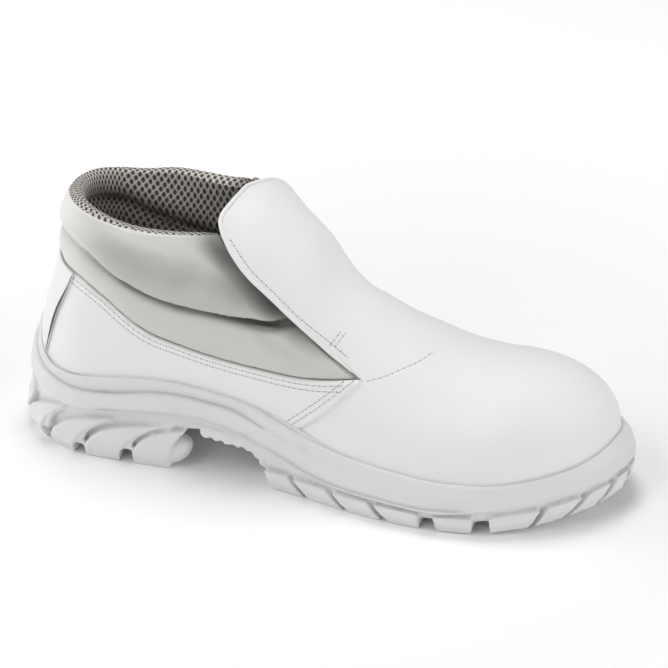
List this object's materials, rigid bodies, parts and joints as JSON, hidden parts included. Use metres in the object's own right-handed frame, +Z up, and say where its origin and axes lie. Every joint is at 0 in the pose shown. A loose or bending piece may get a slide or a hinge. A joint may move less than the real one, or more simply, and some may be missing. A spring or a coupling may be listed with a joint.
{
  "type": "safety shoe",
  "caption": "White pull-on ankle safety shoe for the right foot, with a padded collar, a wide instep flap, lapped quarters and a cupped sole with lugs along its side.",
  "frame": {"origin": "on the floor, under the middle of the shoe's bounding box", "axes": "+X toward the toe, +Z up, the lateral (outer) side of this right shoe toward -Y"},
  "size_m": [0.3037, 0.1031, 0.1413],
  "materials": {
    "tread": "matte light grey polyurethane",
    "sole": "satin light grey polyurethane",
    "footbed": "grey felt",
    "upper": "smooth white microfibre, satin",
    "collar": "soft warm white, padded",
    "strap": "smooth white microfibre, satin"
  },
  "bodies": {
    "root": {"outsole": "tread", "midsole": "sole", "insole": "footbed", "upper": "upper", "collar": "collar", "back_strap": "strap"}
  },
  "joints": []
}
